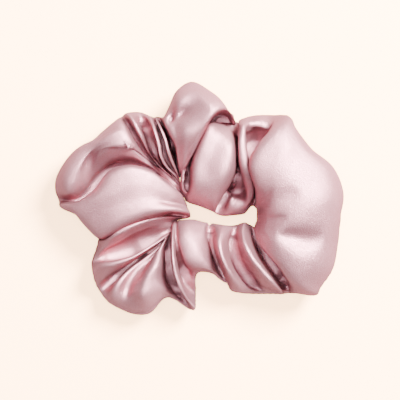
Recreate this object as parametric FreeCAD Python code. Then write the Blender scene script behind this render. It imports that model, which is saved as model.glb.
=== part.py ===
"""A satin scrunchie: a tube of satin gathered round a loop of flat elastic, lying on a table.

The tube is one strip of satin, sewn along its length and then end to end. Its fabric is far longer than the
elastic, so it stands round the loop in lobes of different reach and height. The one motion is the elastic's
stretch, so every piece that goes all the way round is cut in two by the plane across the hair opening: a lower
half that stays and an upper half that slides away from it.

Frame: millimetres, +Z up from the table, +X along the longer side, origin on the table under the middle.
"""

import FreeCAD, Part
import math
import os

from FreeCAD import Vector

# The hair opening: a slot with round ends, where the gathers nearly meet.
OPENING_X = 9.1            # the middle of the slot
OPENING_Y = -6.5           # also the plane that parts the two halves
OPENING_STRAIGHT = 17.0    # between the centres of its round ends
OPENING_RADIUS = 3.6

HALVES_GAP = 0.5           # between the halves at rest

# The satin. The wall is two threads thick and a little bulked, as gathered satin is.
WALL = 0.4
TABLE_SINK = 1.0           # how far each section is pressed flat by the table
SEAM_ALLOWANCE = 5.0       # both plies inside the tube, along the seam at its outer rim
PLIES = 0.8                # thickness of those two plies together
CLOSING_ALLOWANCE = 2.2    # the same at the seam that closes the ring

# The elastic: a flat band on edge, lapped and sewn where the loop closes.
ELASTIC_WIDTH = 6.0
ELASTIC_THICKNESS = 1.2
ELASTIC_RADIUS = 18.0      # of its bends, about the ends of the slot
ELASTIC_MID_Z = 6.0        # it lies low in the tube, under the gathers
LAP_LENGTH = 10.0
LAP_START_X = 5.0
LAP_STEP_RUN = 3.0         # where the outer end steps out over the inner one
LAP_CLEARANCE = 0.02

# The sewing thread, pressed square where it lies in a seam and round in the zigzag.
THREAD = 0.3
THREAD_BITE = 0.05         # how deep a stitch sinks into what it holds
STITCH_INSET = 1.6         # from the tube's wall to the row of stitches
ZIGZAG_POINTS = 9

SECTION_POLES = 12         # how finely a round section is described

# The sections that draw the tube along: how far along the slot each one stands, the direction it faces, its
# reach from the slot's middle line, and its height. They pull the smooth tube towards them, like the poles of a
# spline, so a lobe's section stands a little further out than the lobe itself.
UPPER_STATIONS = [
    (0.0, 180, 52.0, 24.0),
    (0.0, 161, 68.0, 25.0),
    (0.0, 140, 53.0, 28.5),
    (0.0, 119, 43.0, 25.5),
    (0.1, 100, 58.5, 30.0),
    (0.4, 90, 47.0, 31.0),
    (0.8, 90, 36.0, 28.0),
    (1.0, 66, 48.0, 28.0),
    (1.0, 40, 37.0, 30.0),
    (1.0, 15, 42.0, 28.0),
    (1.0, 0, 39.0, 28.0),
]
LOWER_STATIONS = [
    (1.0, 0, 39.0, 28.0),
    (1.0, -20, 39.0, 27.0),
    (1.0, -43, 51.0, 25.0),
    (1.0, -68, 32.5, 23.0),
    (0.75, -90, 34.0, 22.5),
    (0.36, -90, 22.5, 19.5),
    (0.1, -95, 33.0, 21.0),
    (0.0, -107, 36.0, 22.0),
    (0.0, -126, 54.0, 23.0),
    (0.0, -148, 55.0, 24.5),
    (0.0, -168, 40.0, 24.0),
    (0.0, -180, 52.0, 24.0),
]
CLOSING_SEAM = 5           # the lower station where the ends of the tube are sewn together

ZIGZAG_MARGIN = 0.6        # from the zigzag to the edges of the lap

BIG = 400.0                # larger than the object, for cutting

os.makedirs("parts", exist_ok=True)


class Station:
    """One section of the tube: an upright plane that starts on the slot's middle line and faces outwards."""

    def __init__(self, share, degrees, reach, height, side):
        first_x = OPENING_X - OPENING_STRAIGHT / 2
        self.base = Vector(first_x + share * OPENING_STRAIGHT, OPENING_Y + side * HALVES_GAP / 2, 0)
        turn = math.radians(degrees)
        self.out = Vector(math.cos(turn), math.sin(turn), 0)
        self.reach = reach
        self.height = height

    def at(self, away, z):
        """The point that far from the middle line, at that height."""
        return self.base + self.out * away + Vector(0, 0, z)

    def middle(self):
        """The height of the widest part of the section."""
        return (self.height - TABLE_SINK) / 2

    def outline(self, inset):
        """The poles of the section's round outline, that far inside the outer face of the satin."""
        swell = 6 / (4 + 2 * math.cos(2 * math.pi / SECTION_POLES))
        wide = swell * ((self.reach - OPENING_RADIUS) / 2 - inset)
        high = swell * ((self.height + TABLE_SINK) / 2 - inset)
        centre = (self.reach + OPENING_RADIUS) / 2
        turns = [2 * math.pi * i / SECTION_POLES for i in range(SECTION_POLES)]
        return [self.at(centre + wide * math.cos(t), self.middle() + high * math.sin(t)) for t in turns]

    def seam_section(self, near, far, rise, thickness):
        """The corners of a flat strip of the long seam, from near to far inside the outer rim."""
        outer = self.reach - near
        inner = self.reach - far
        low = self.middle() + rise - thickness / 2
        high = low + thickness
        return [self.at(inner, low), self.at(outer, low), self.at(outer, high), self.at(inner, high)]


def along_surface(rows, round_section):
    """The smooth surface whose poles are the rows, one row for each station."""
    stations = len(rows)
    lengthways = list(range(stations - 2))
    ends = [4] + [1] * (stations - 4) + [4]
    poles = [list(column) for column in zip(*rows)]
    across = len(poles)
    surface = Part.BSplineSurface()
    if round_section:
        surface.buildFromPolesMultsKnots(
            poles, [1] * (across + 1), ends, list(range(across + 1)), lengthways, True, False, 3, 3
        )
    else:
        surface.buildFromPolesMultsKnots(poles, [2, 2], ends, [0, 1], lengthways, False, False, 1, 3)
    return surface


def skin(rows, round_section=True):
    """A closed solid that follows the stations: round in section, or with the flat sides of a rectangle."""
    if round_section:
        sides = [along_surface(rows, True)]
    else:
        corners = len(rows[0])
        sides = [
            along_surface([(row[i], row[(i + 1) % corners]) for row in rows], False)
            for i in range(corners)
        ]
    faces = [side.toShape() for side in sides]
    first, last = sides[0].bounds()[2:]
    for v in (first, last):
        rim = Part.Wire([side.vIso(v).toShape() for side in sides])
        faces.append(Part.Face(rim))
    shell = Part.makeShell(faces)
    shell.sewShape()
    solid = Part.makeSolid(Part.Shell(shell.Faces))
    if solid.Volume < 0:
        solid.reverse()
    return solid


def above(z, shape):
    """The part of a shape above that height."""
    below = Part.makeBox(BIG, BIG, BIG, Vector(-BIG / 2, -BIG / 2, z - BIG))
    return shape.cut(below)


def tube_core(stations, inset):
    """Everything inside the tube's surface at that inset, above the table or the satin that lies on it."""
    return above(inset, skin([s.outline(inset) for s in stations]))


def satin_tube(stations):
    """Half of the satin: a hollow tube, with the long seam's two plies along the inside of its outer rim."""
    plies = skin([s.seam_section(WALL / 2, SEAM_ALLOWANCE, 0, PLIES) for s in stations], round_section=False)
    return tube_core(stations, 0).cut(tube_core(stations, WALL)).fuse(plies)


def slab(x, thickness):
    """All of the space between two planes across X."""
    return Part.makeBox(thickness, BIG, BIG, Vector(x - thickness / 2, -BIG / 2, -BIG / 2))


def closing_plies(stations):
    """The two plies inside the tube where its ends are sewn together: a flat ring across the tube."""
    ring = tube_core(stations, WALL / 2).cut(tube_core(stations, WALL + CLOSING_ALLOWANCE))
    return ring.common(slab(stations[CLOSING_SEAM].base.x, PLIES))


def long_seam_thread(stations, side):
    """One thread of the long seam, on the upper or the lower face of the plies."""
    near = WALL + STITCH_INSET - THREAD / 2
    rise = side * (PLIES / 2 + THREAD / 2 - THREAD_BITE)
    return skin([s.seam_section(near, near + THREAD, rise, THREAD) for s in stations], round_section=False)


def closing_seam_thread(stations, side):
    """One thread of the closing seam, on one face of its plies."""
    x = stations[CLOSING_SEAM].base.x + side * (PLIES / 2 + THREAD / 2 - THREAD_BITE)
    near = WALL + STITCH_INSET - THREAD / 2
    ring = tube_core(stations, near).cut(tube_core(stations, near + THREAD))
    return ring.common(slab(x, THREAD))


def elastic_half(side):
    """Half of the elastic, an upright band round the slot, on its upper or its lower side."""
    low = ELASTIC_MID_Z - ELASTIC_WIDTH / 2
    edge = OPENING_Y + side * HALVES_GAP / 2
    first_x = OPENING_X - OPENING_STRAIGHT / 2

    def filled(radius):
        ends = [Vector(first_x, edge, low), Vector(first_x + OPENING_STRAIGHT, edge, low)]
        discs = [Part.makeCylinder(radius, ELASTIC_WIDTH, end) for end in ends]
        corner = Vector(first_x, edge - radius, low)
        return Part.makeBox(OPENING_STRAIGHT, 2 * radius, ELASTIC_WIDTH, corner).multiFuse(discs)

    half_thick = ELASTIC_THICKNESS / 2
    ring = filled(ELASTIC_RADIUS + half_thick).cut(filled(ELASTIC_RADIUS - half_thick))
    keep = Vector(-BIG / 2, edge if side > 0 else edge - BIG, -BIG / 2)
    return ring.common(Part.makeBox(BIG, BIG, BIG, keep)).removeSplitter()


def elastic_lower():
    """The lower half of the elastic: two legs, the outer one stepping out to lap over the end of the inner one."""
    low = ELASTIC_MID_Z - ELASTIC_WIDTH / 2
    band = elastic_half(-1)
    lap_end_x = LAP_START_X + LAP_LENGTH
    run_y = OPENING_Y - HALVES_GAP / 2 - ELASTIC_RADIUS

    def side_of(x, leftwards):
        corner = Vector(x - BIG if leftwards else x, -BIG / 2, -BIG / 2)
        return Part.makeBox(BIG, BIG, BIG, corner)

    inner_leg = band.common(side_of(lap_end_x, True))
    outer_leg = band.common(side_of(lap_end_x + LAP_STEP_RUN, False))

    step = ELASTIC_THICKNESS + LAP_CLEARANCE
    top = run_y + ELASTIC_THICKNESS / 2
    bottom = run_y - ELASTIC_THICKNESS / 2
    outline = [
        (lap_end_x + LAP_STEP_RUN, top),
        (lap_end_x + LAP_STEP_RUN, bottom),
        (lap_end_x, bottom - step),
        (LAP_START_X, bottom - step),
        (LAP_START_X, top - step),
        (lap_end_x, top - step),
    ]
    points = [Vector(x, y, low) for x, y in outline + outline[:1]]
    lap = Part.Face(Part.makePolygon(points)).extrude(Vector(0, 0, ELASTIC_WIDTH))
    return Part.makeCompound([inner_leg, outer_leg.fuse(lap).removeSplitter()])


def zigzag(y):
    """One thread of the lap's zigzag stitching, running to and fro across the band."""
    span = LAP_LENGTH - 2 * ZIGZAG_MARGIN
    points = []
    for i in range(ZIGZAG_POINTS):
        side = 1 if i % 2 else -1
        x = LAP_START_X + ZIGZAG_MARGIN + span * i / (ZIGZAG_POINTS - 1)
        points.append(Vector(x, y, ELASTIC_MID_Z + side * (ELASTIC_WIDTH / 2 - ZIGZAG_MARGIN)))
    stitches = [
        Part.makeCylinder(THREAD / 2, (b - a).Length, a, b - a)
        for a, b in zip(points, points[1:])
    ]
    turns = [Part.makeSphere(THREAD / 2, p) for p in points]
    return stitches[0].multiFuse(stitches[1:] + turns)


def export(name, shape):
    """Writes one node and prints what it holds."""
    shape.exportStep(f"parts/{name}.step")
    box = shape.BoundBox
    print(
        f"{name}: {len(shape.Solids)} solid(s), valid {shape.isValid()}, {shape.Volume:.0f} mm3,",
        f"x {box.XMin:.2f}..{box.XMax:.2f}  y {box.YMin:.2f}..{box.YMax:.2f}  z {box.ZMin:.2f}..{box.ZMax:.2f}",
    )


upper = [Station(*row, side=1) for row in UPPER_STATIONS]
lower = [Station(*row, side=-1) for row in LOWER_STATIONS]

export("satin_tube_upper", satin_tube(upper))
export("satin_tube_lower", satin_tube(lower).fuse(closing_plies(lower)))

export("elastic_band_upper", elastic_half(1))
export("elastic_band_lower", elastic_lower())

lap_inner_face = OPENING_Y - HALVES_GAP / 2 - ELASTIC_RADIUS + ELASTIC_THICKNESS / 2
lap_outer_face = lap_inner_face - 2 * ELASTIC_THICKNESS - LAP_CLEARANCE
export("elastic_lap_needle_thread", zigzag(lap_outer_face - THREAD / 2 + THREAD_BITE))
export("elastic_lap_bobbin_thread", zigzag(lap_inner_face + THREAD / 2 - THREAD_BITE))

for half, stations in (("upper", upper), ("lower", lower)):
    export(f"long_seam_needle_thread_{half}", long_seam_thread(stations, 1))
    export(f"long_seam_bobbin_thread_{half}", long_seam_thread(stations, -1))

export("closing_seam_needle_thread", closing_seam_thread(lower, 1))
export("closing_seam_bobbin_thread", closing_seam_thread(lower, -1))
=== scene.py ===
# %% [markdown]
# # A satin scrunchie
#
# This lesson dresses the imported model of a scrunchie. The frame brings the two halves of the satin tube, the
# elastic inside it and the threads of its three seams, all in metres. The cells below turn the plain halves
# into one ring of gathered satin, sew its seams, and light it from above on a pale floor.
#
# The first step loads the frame.

# %% Load the frame
import math

import bpy
import numpy as np
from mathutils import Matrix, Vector


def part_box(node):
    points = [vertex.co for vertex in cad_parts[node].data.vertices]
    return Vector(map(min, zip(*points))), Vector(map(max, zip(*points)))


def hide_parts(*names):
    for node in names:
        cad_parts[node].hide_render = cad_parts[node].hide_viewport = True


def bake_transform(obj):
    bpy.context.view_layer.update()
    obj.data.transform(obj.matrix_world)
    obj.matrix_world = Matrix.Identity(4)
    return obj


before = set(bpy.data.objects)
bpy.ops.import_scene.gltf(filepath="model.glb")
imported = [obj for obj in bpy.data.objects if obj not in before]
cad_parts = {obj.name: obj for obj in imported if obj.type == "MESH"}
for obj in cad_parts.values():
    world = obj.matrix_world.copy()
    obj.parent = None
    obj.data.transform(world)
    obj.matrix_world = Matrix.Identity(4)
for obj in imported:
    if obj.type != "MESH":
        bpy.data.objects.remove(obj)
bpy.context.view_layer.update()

MM = 0.001            # one millimetre in metres

# %% [markdown]
# ## Small helpers
#
# Every colour below is a hex sRGB value, which Blender's nodes need as linear light. `add` puts one node in a
# tree, sets its plain inputs and links the others.

# %% Helpers for colours, nodes, objects and numbers
def linear(hex_colour):
    """A hex sRGB colour as linear RGBA."""
    parts = [int(hex_colour[i:i + 2], 16) / 255 for i in (1, 3, 5)]
    return [c / 12.92 if c <= 0.04045 else ((c + 0.055) / 1.055) ** 2.4 for c in parts] + [1.0]


def add(tree, kind, settings=None, **inputs):
    """One node, with its settings and its inputs; an input that is a socket is linked, any other is set."""
    node = tree.nodes.new(kind)
    for name, value in (settings or {}).items():
        setattr(node, name, value)
    for name, value in inputs.items():
        key = int(name[1:]) if name[0] == "_" and name[1:].isdigit() else name.replace("_", " ")
        if isinstance(value, bpy.types.NodeSocket):
            tree.links.new(value, node.inputs[key])
        else:
            node.inputs[key].default_value = value
    return node


def new_material(name):
    """An empty node material and its tree, with only an output."""
    material = bpy.data.materials.new(name)
    material.use_nodes = True
    material.node_tree.nodes.clear()
    return material, material.node_tree


def noise(tree, place, scale, detail=2.0, roughness=0.5):
    """Soft random grey at places, from 0 to 1."""
    inputs = {"Vector": place, "Scale": scale, "Detail": detail, "Roughness": roughness}
    return add(tree, "ShaderNodeTexNoise", **inputs).outputs["Fac"]


def bump(tree, height, strength, distance, **under):
    """Normals tilted by a height, over any relief under it."""
    return add(tree, "ShaderNodeBump", Height=height, Strength=strength, Distance=distance,
               **under).outputs["Normal"]


def mixed(tree, share, dark, light):
    """A colour between two hex colours."""
    mix = add(tree, "ShaderNodeMix", {"data_type": "RGBA"}, Factor=share, _6=linear(dark), _7=linear(light))
    return mix.outputs[2]


def surfaced(tree, **inputs):
    """A Principled surface that ends a tree."""
    shader = add(tree, "ShaderNodeBsdfPrincipled", **inputs)
    add(tree, "ShaderNodeOutputMaterial", Surface=shader.outputs["BSDF"])


def placed(name, data):
    """A new object in the scene that shows some data."""
    obj = bpy.data.objects.new(name, data)
    bpy.context.scene.collection.objects.link(obj)
    return obj


def eased(share):
    """A share from 0 to 1 that starts and ends gently."""
    return share * share * (3 - 2 * share)


def evened(values, passes):
    """A closed row of values, smoothed."""
    for _ in range(passes):
        values = (np.roll(values, 1, axis=0) + 2 * values + np.roll(values, -1, axis=0)) / 4
    return values


print("helpers ready")

# %% [markdown]
# ## The folds of the satin
#
# The satin strip is about two and a half times as long as the elastic, so it stands in folds that run
# outwards. Each line below follows one fold over the top of the ring, from the opening to the outer rim:
# ridges and valleys in turn, clockwise from the left. Points are x, y and height in millimetres. Where a
# valley lies under its ridge, the satin hangs over.

# %% Fold lines
# The closing seam, drawn in by its stitches.
CLOSING_SEAM = [(4.3,-9.3,8), (4.2,-12,12), (4.3,-16,13), (5.5,-21,13), (8,-27,12), (10.3,-32,8.5),
                (10.9,-33.2,6), (11,-33.4,4)]

FOLDS = [
    # The broad smooth panel on the left, from under its rolled lower crest to its upper edge.
    [(-4,-7,7), (-11,-5.8,10.8), (-19,-6.6,10.5), (-29,-10.6,7), (-38,-15.1,6), (-40.3,-15,4)],
    [(-3.4,-5.8,9), (-5.8,-4.6,18), (-13,-4,23), (-21,-5.6,24.5), (-30,-9.2,22.5), (-38.8,-14.4,14),
     (-41.5,-13.5,5)],
    [(-4.5,-3,9), (-8,-1.5,18), (-15,0,23), (-24,0.5,25.5), (-35,-3,23), (-44,-9,14), (-47,-8.5,5)],
    [(-5,-1.5,9), (-8.5,1,18), (-15,5,23), (-24,7.5,26), (-36,3.5,24), (-47,-3.5,15), (-51,-5,5)],
    [(-6,0.5,9), (-9,3.5,17), (-13.5,7,21), (-19,11,23.5), (-27,12.8,25), (-34.5,10.5,23.5), (-40.5,4,20),
     (-47,-0.5,17), (-54,-2,9), (-55,-2.5,5)],
    # The valley above the panel.
    [(-6.5,2,8), (-9.5,5,11), (-14,9,12), (-19,12.1,12), (-27,13.6,13), (-35,11.2,12), (-41.3,4.8,11.5),
     (-47,0.6,12), (-54.5,0,8), (-56,0,5)],
    # The upper left lobe, with its dimple and the bulge beyond it.
    [(-6.8,2.5,8), (-10,6,11), (-15,10.5,12), (-20.5,14,17.5), (-28,17,21.5), (-36,15.2,18.5), (-41.3,10,13),
     (-46,5.5,17.5), (-51,3,18.5), (-56,3.5,9), (-57,4,5)],
    [(-6.8,3,8), (-10,6.5,11), (-15.5,11.5,12), (-21.5,15.5,19), (-29,20,25), (-37,19.5,23), (-42,15,16.5),
     (-47,11,20.5), (-52,9,18.5), (-55.5,9,9), (-56.3,9,5)],
    [(-7,3.2,8), (-10,7,11), (-16,12.2,12), (-22,16.5,19), (-29.5,21.5,26), (-37,22.5,24), (-42.5,20,20),
     (-47,18.5,17), (-49.5,18.5,10), (-50,18.5,5)],
    [(-7,3.5,8), (-10.3,7.3,11), (-16.5,12.8,12), (-22.3,17.2,19), (-27.3,22.4,25.5), (-31.5,27,25),
     (-36,26,21), (-40,25,13), (-41,25.5,5)],
    [(-7,3.8,8), (-10.5,7.8,11), (-16.8,13.2,12), (-22,17.8,18.5), (-26.3,23.6,24), (-29.8,29,23),
     (-31.8,31.2,17), (-32.8,31.8,10), (-33,32,5)],
    # The soft gathers between that lobe and the narrow pleats.
    [(-7.1,4.2,8), (-10.6,8.3,10), (-17,14,10), (-21,18.2,12), (-24.8,24.2,16), (-28.2,29.6,16),
     (-30.4,33,10), (-30.8,33.3,5)],
    [(-7.2,4.6,8), (-10.7,8.8,10.5), (-16.8,14.8,11.5), (-20.2,19.6,16), (-23.2,25.8,22.5), (-26.4,31.8,21.5),
     (-28.7,34.2,12), (-29,34.6,5)],
    [(-7.4,5.4,8), (-10.6,9.8,9.5), (-16.2,16.2,9), (-18.8,21.5,10), (-20.8,27,12.5), (-22.6,32,13),
     (-23.6,34.6,9), (-23.8,35.2,5)],
    # Two narrow pleats and the deep slit beside them.
    [(-7.6,6.8,10), (-9.5,9.8,14), (-13,13.5,18), (-15,17.5,21), (-15.8,22,22), (-17.5,27.5,21.5),
     (-19,32,15), (-19.5,33.3,9), (-19.5,33.5,5)],
    [(-7.7,7.5,8.5), (-9.3,10.8,11), (-12,14.5,10), (-13.5,18,11), (-14.2,22,12), (-15.8,27.5,13),
     (-17.6,31.8,11), (-18,32.8,8), (-18,33,5)],
    [(-7.8,8.2,10), (-9,11.5,14), (-10.8,15.5,18), (-12.2,19.5,21), (-13.3,24,22), (-15.2,28.5,20.5),
     (-17,32,14), (-17,33,9), (-17,33.2,5)],
    [(-7.9,9,7.5), (-8.6,12.5,10), (-9.3,16.5,8), (-10,20,7.5), (-11.6,24.5,8), (-14,29.5,10),
     (-15.8,32.3,10), (-15.8,33.2,7), (-15.8,33.2,5)],
    # The tall top lobe: a smooth cone, the fold across it and the back that stands up behind.
    [(-7.6,9.7,9), (-8,12.5,14), (-8.5,17,18.5), (-9.2,21.5,22), (-11,26,23), (-13.5,31.5,19), (-14,33,13),
     (-14,33.3,8), (-14,33.3,5)],
    [(-7.4,10,9.5), (-7.6,13,15), (-7.7,18,20), (-8.4,24,24.5), (-9.8,30,22.5), (-10.5,32.3,18.5),
     (-11,35,18.5), (-11.8,37,12), (-12,37.3,5)],
    [(-7.2,10,9.5), (-7,13,15), (-6,18.5,21), (-5.5,25.5,26.5), (-6.2,31,24.5), (-7,33,21.5), (-8,38,22.5),
     (-8.5,42,16), (-9,43,10), (-9,43,5)],
    [(-7,10,9.5), (-6.5,13,15), (-4.7,19,21), (-2.5,26,27), (-1.8,32,27), (-2,35.5,25), (-2.4,41,22.5),
     (-2.8,45,14), (-3,46.6,9), (-3,46.8,5)],
    [(-6.9,9.9,9.5), (-6,13,15), (-3.6,19,21), (0,27,27), (2.8,33,28.5), (3.5,37.5,26.5), (4,41.5,18),
     (4.3,43,10), (4.3,43,5)],
    [(-6.8,9.8,9.5), (-5.7,12.8,15), (-3,18.5,21), (1.2,27.5,27), (5.5,34,28.5), (8,37,24), (9,39,15),
     (9.3,39,9), (9.3,39,5)],
    # Its rolled edge, and the dark hollow under that.
    [(-6.6,9.5,9), (-5.4,12.6,14.5), (-2.6,18,20), (1.5,26.5,25.5), (5.3,32.8,26.5), (9.3,35.5,24),
     (12.3,34.5,18), (13.8,32,11), (14,31.8,5)],
    [(-6.3,8.5,8), (-5.3,11.5,10), (-3.3,17,9.5), (0.6,24.5,6.5), (5,31.5,6), (9,33.8,6), (12.2,33,5.5),
     (14,31,5), (14.2,31,4)],
    # The tongue that reaches into the opening.
    [(-7,3,9), (-6.6,5.5,14), (-6,8.5,16), (-5.2,11.5,14), (-4.2,15.5,11.5), (-1,22,7.5), (4,30,6.5),
     (9,33,5.5), (13.5,30.5,5), (14.2,30,4)],
    [(-6,1,9), (-5,3.8,14), (-4.4,7,9), (-3.9,11,7), (-3.4,15,7), (-0.6,21.5,7.5), (3.6,28.4,8), (8,31,5.5),
     (13.5,30,5), (14.3,29.5,4)],
    [(-5,-0.5,9), (-3,2.5,17), (-2.2,7,20.5), (-2,12,21.5), (-0.9,17,22), (1.4,22.5,23), (4.2,28.5,22.5),
     (5.8,30.6,15), (8,31,7), (13.5,31,5), (14.4,31.4,4)],
    [(0,-2.5,9), (0.5,1,17.5), (2,6,21.5), (3.5,13,23), (5.5,20,23.5), (7.8,25.5,22.5), (9.5,28.6,17),
     (11,30,10), (14,30.5,6), (14.7,31.4,4)],
    [(4.5,-4.3,9), (5.5,-1,16), (8,4,20), (10,10,23.5), (11.8,16,24), (12.6,21,23), (13.2,25,18), (14,27,11),
     (14.8,29.5,7), (15,31.4,4)],
    [(6,-5,8.5), (7,-2.5,13), (9.6,2.5,16), (12.3,7.5,18), (14,12.5,19.5), (14.4,18,19), (14.4,22,17.5),
     (14.8,25,12.5), (15.2,28.5,8), (15.3,31.4,4)],
    # The crumpled piece right of the tongue, with the hollow above it.
    [(7,-5.6,7.5), (8.5,-3,9.5), (11,2,10), (13,6.5,9.5), (14.8,11,10), (15.3,17,11), (15.2,22,11),
     (15.3,27,10), (15.5,30,7), (15.5,31.4,4)],
    [(10,-6.3,8), (11.5,-3.5,12), (13,0.5,13.5), (13.7,3.5,9.5), (14.3,7,6), (15,10.5,8), (15.5,16,10),
     (15.4,22,13), (15.5,27,12), (15.6,30,8), (15.6,30.5,4)],
    [(14.5,-6,8), (15,-3,13.5), (15.8,0.5,13), (16,3.5,9.5), (16.3,6.5,5), (16.2,9.5,7), (16,12,13),
     (15.9,17,19), (15.6,23,19), (15.7,28,16), (15.8,30.6,9), (15.8,31,4)],
    # The long narrow twisted pleat, and the hollow right of it.
    [(18,-5.5,8), (18.8,-2.5,13), (19.8,0.5,16), (19.3,4,17), (18,8,19.5), (16.9,13,22), (16.3,18,23),
     (16,24,22.5), (15.8,28.5,19.5), (15.9,31,12), (16,31.8,5)],
    [(19.5,-4,8), (20.5,-1,13), (21.6,2.5,16), (20.8,7,19.5), (19.5,12,22), (18.6,18,22.5), (18,24,22.5),
     (17.6,28.5,22), (17.6,31.5,15), (17.8,32.6,8), (18,32.8,5)],
    [(20.5,-3,8), (21.5,-0.5,11), (22.3,2.5,11), (21.7,6.5,11), (20.8,11.5,11), (19.8,17,11.5),
     (19.6,22.5,13.5), (20,27,19.5), (20.3,30.3,19), (20.8,33,11), (21,33.6,5)],
    [(21.3,-2.5,7.5), (22,-0.5,9), (22.8,2,9), (22.6,6,8.5), (21.4,11,8.5), (20.5,16,8.5), (21.3,20.5,9),
     (23,24,12.5), (23.3,28.3,19), (23.8,31,18), (24.3,33.5,10), (24.5,34,5)],
    [(21.8,-2.5,7.5), (22.2,-0.8,9.5), (23.2,1.5,10), (23.2,6,9.5), (22,11,9.5), (21.4,16,9.5),
     (22.8,20.5,10.5), (25.2,24,14.5), (26.3,27,19.5), (27,30,18.5), (28.5,33.3,10), (28.8,34,5)],
    # The largest lobe, on the right, from its upper edge round to its lower one.
    [(22.3,-3,9), (22.6,0,17), (22.3,4,22), (20.8,9,25), (20.3,13,26.5), (21.8,18,27), (25.5,23.5,26.5),
     (29.5,27.5,25.5), (33.5,31,20), (35.8,33,11), (36.2,33,5)],
    [(22.8,-3.5,9), (23.5,-0.5,19), (25,4,26), (27,10,29), (30,17,29.5), (33.5,23.5,27.5), (36.5,28.5,20),
     (38.2,29,11), (38.6,28.5,5)],
    [(23,-4.5,9), (24.5,-1.5,20), (28,3,27.5), (33,9,30), (38,15,28), (42.5,19.5,21), (44.5,20.5,11),
     (45,20.3,5)],
    [(23,-5.5,9), (25,-3.5,20), (29.5,-0.5,27.5), (37,3.5,30), (44,8,27.5), (49.5,11.5,21), (52.8,12.8,11),
     (53.2,12.8,5)],
    [(23,-6.5,9), (25,-5.5,20), (30,-4.5,27.5), (38,-2.5,30), (46,0,28.5), (52.5,2,22), (56.5,3,12),
     (57.2,3.2,6)],
    [(23,-7.5,9), (25,-7.5,20), (30,-8,27), (38,-8.5,29.5), (45.5,-8,27.5), (50,-7,24), (54.5,-6,17),
     (56.3,-6,10), (56.5,-6,5)],
    [(22.8,-8.5,9), (24.8,-10,20), (29.5,-12.5,26.5), (36.5,-14.5,28), (42,-16,26.5), (48,-16.5,23.5),
     (53,-17,16), (55,-17,9), (55.2,-17,5)],
    [(22.5,-9.3,9), (24.4,-12.5,20), (28.5,-16.5,26), (35,-20.5,28), (41,-23.5,26.5), (48,-26.5,20),
     (52.5,-27.5,11), (53,-27.5,5)],
    [(22.2,-10.2,9), (24,-14.5,20), (28,-19.5,25), (33.5,-25,26.5), (39,-29.5,25), (44.5,-33,18),
     (48,-34.5,10), (48.5,-34.8,5)],
    [(22,-10.6,9), (23.5,-15,19), (27.3,-20.3,24), (32.4,-26,25.3), (37.2,-31.2,24), (42.3,-35.2,18.5),
     (46.4,-37.4,10), (46.8,-37.8,5)],
    [(21.8,-11,9), (23,-15.5,18), (26.5,-20.8,22), (31,-25.8,23.5), (34.5,-30.5,22.5), (37,-34,17),
     (38.5,-37,9), (38.7,-37.3,5)],
    # The bowl under its edge, and the two thin rims of the bowl.
    [(21.4,-10.5,8), (22.6,-15.5,10.5), (26.4,-21,10.5), (30.8,-26.5,9.5), (33.8,-31,9), (35.2,-34.5,10),
     (35.8,-37,8), (36,-37.3,5)],
    [(20,-9.8,8), (20.3,-14.5,13.5), (23.6,-21,15.5), (28.2,-27.2,14), (31.8,-32.2,13), (34,-35.5,10.5),
     (34.2,-37.3,7), (34.3,-37.5,5)],
    [(18.3,-9,9), (17.3,-12.5,15.5), (18.4,-18,22), (21,-23,23), (25,-28,22), (29,-32.5,20), (32.3,-36,14),
     (32.8,-37.5,8), (32.8,-37.6,5)],
    [(17,-9.3,8.5), (15.8,-12.8,14), (15.8,-18,17.5), (17.7,-23.7,17.5), (21.6,-29.3,16.5), (26,-34,14),
     (30,-36.5,10), (30.3,-37.5,7), (30.3,-37.6,5)],
    # The inflated pleat beside the closing seam, with the valley right of it.
    [(15.4,-9.8,8), (13.8,-13.2,12.5), (13.4,-17.8,12.6), (14.8,-23.6,12.8), (18,-29.4,12), (22,-34.3,9),
     (26.2,-37,8), (26.4,-37.7,5)],
    [(13.2,-10.2,8), (11.3,-13.6,16), (10.9,-18,18.6), (12.2,-24,18.4), (15,-29.5,17), (18.2,-34.2,13),
     (20.8,-36.8,8), (21,-37.6,5)],
    [(10,-10,8.5), (8.5,-13,17.5), (7.9,-17,22), (8.7,-21.5,23), (11,-27,21.5), (13.5,-32,16.5),
     (15.4,-35.4,11), (16,-37,7), (16,-37,5)],
    [(7.2,-9.6,8.5), (6.3,-12.5,15), (5.6,-16.5,17), (6.6,-21.5,17.5), (9,-27.5,16), (11.3,-32,12.5),
     (12.6,-35.5,8.5), (12.8,-36.2,5)],
    CLOSING_SEAM,
    # The bright panel left of the seam.
    [(2.3,-8.9,8.5), (1.8,-12,14.5), (2.3,-16.5,17), (3.8,-21,16.5), (6,-26.5,14.5), (8.2,-30.6,9.5),
     (8.7,-32,6), (8.8,-32,4)],
    [(-2.5,-7.8,9), (-2.8,-10.5,16), (-2.6,-15,20), (-1.5,-19.5,20.5), (1,-24.5,18.5), (4,-28,13.5),
     (5.3,-29.5,7), (5.4,-29.5,4)],
    [(-6.5,-8,9), (-7,-10.5,16), (-7.2,-15,19.5), (-6.3,-20,20), (-4.5,-24.8,18.5), (-1.8,-28,13.5),
     (-0.5,-29,8), (-0.5,-29.2,4)],
    # The petal that points down, hollow on its right side.
    [(-8.8,-8.3,8.5), (-9,-11,14), (-9,-15.5,17.5), (-8.4,-20.5,18), (-7,-25.5,14.5), (-5.4,-30,8.5),
     (-3.6,-34,6.5), (-1.8,-37,6), (-1.2,-37.8,4)],
    [(-10.2,-9,8), (-10.5,-12,15), (-10.5,-17,20), (-10.3,-23,22), (-9.3,-29,21), (-7,-35,18.5),
     (-4.2,-40,13), (-1.8,-43,9), (-1.5,-43.4,5)],
    [(-10.6,-9.5,8), (-11.2,-12.5,11), (-11.8,-18,8.5), (-12,-23.5,8), (-11,-30,7.5), (-8.3,-36,7.5),
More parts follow.
